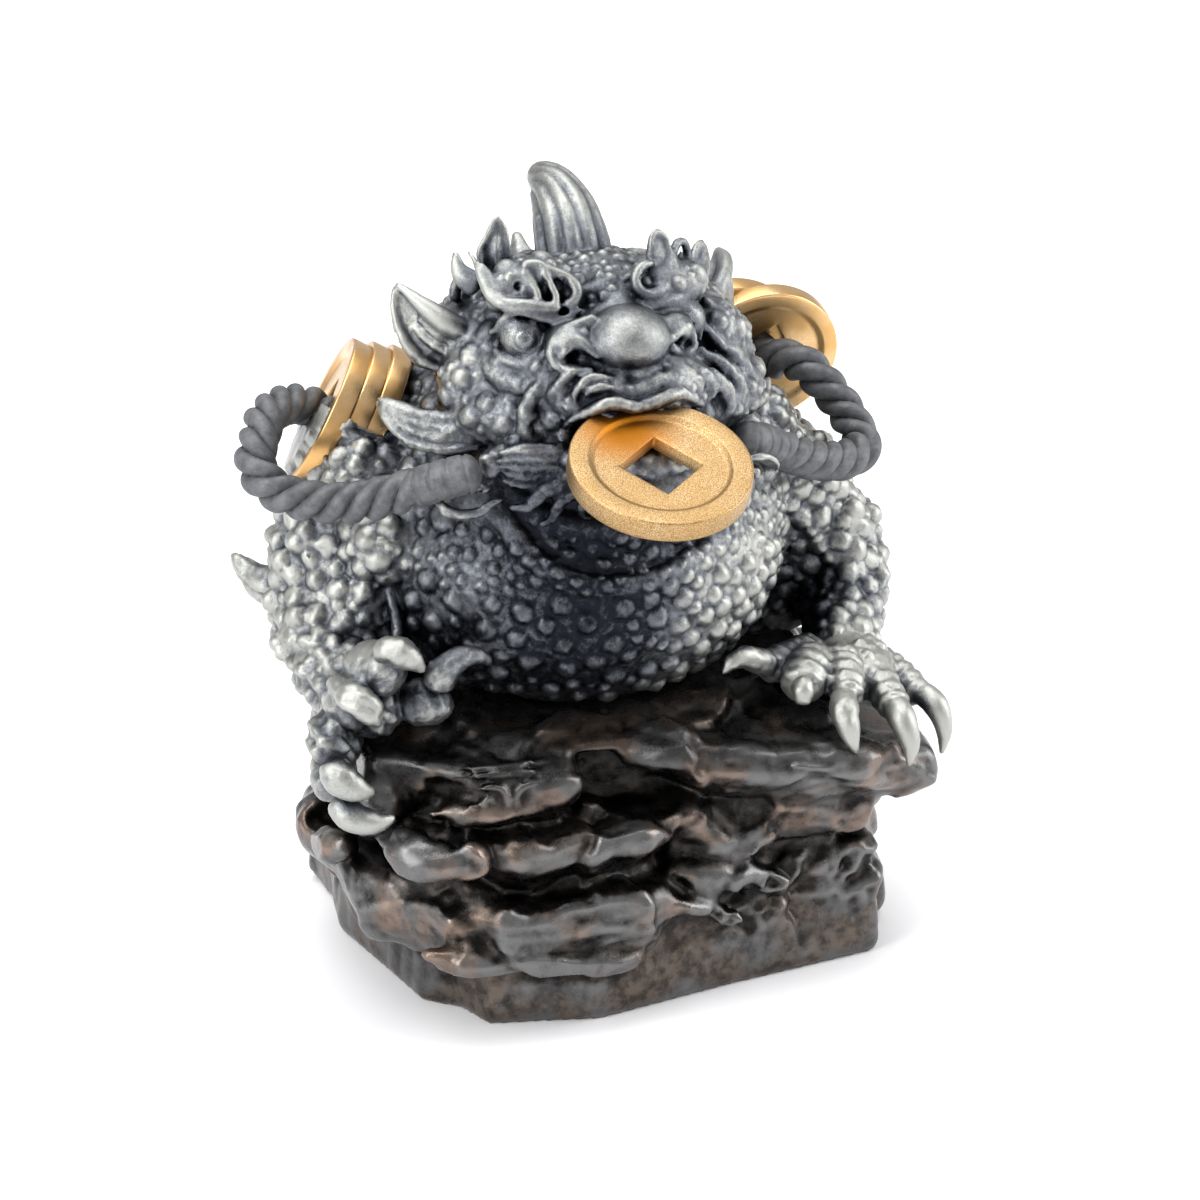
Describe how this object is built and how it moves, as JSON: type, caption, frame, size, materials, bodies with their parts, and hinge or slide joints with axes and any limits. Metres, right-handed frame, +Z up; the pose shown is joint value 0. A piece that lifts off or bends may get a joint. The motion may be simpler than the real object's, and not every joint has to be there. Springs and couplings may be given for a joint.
{
  "type": "money toad figure",
  "caption": "Warty horned money toad crouching on a layered rock, a square-holed coin in its mouth and corded coin stacks on its shoulders.",
  "frame": {"origin": "on the rock's flat underside, below the toad's mid-plane", "axes": "+Z up, the toad looks along -Y, +X is its own left side"},
  "size_m": [0.106, 0.0952, 0.1196],
  "materials": {
    "rock_bronze": "dark brown-black bronze patina, semi-gloss, with coppery rubbed edges",
    "pewter": "antiqued pewter, near black in the recesses and satin bright on the high points",
    "gilt": "sandblasted satin gilding",
    "dark_cord_metal": "dark grey antiqued pewter, matt"
  },
  "bodies": {
    "root": {"rock_base": "rock_bronze", "toad": "pewter", "mouth_coin": "gilt", "right_rope": "dark_cord_metal", "left_rope": "dark_cord_metal", "right_coin_stack": "gilt", "left_coin_stack": "gilt"}
  },
  "joints": []
}
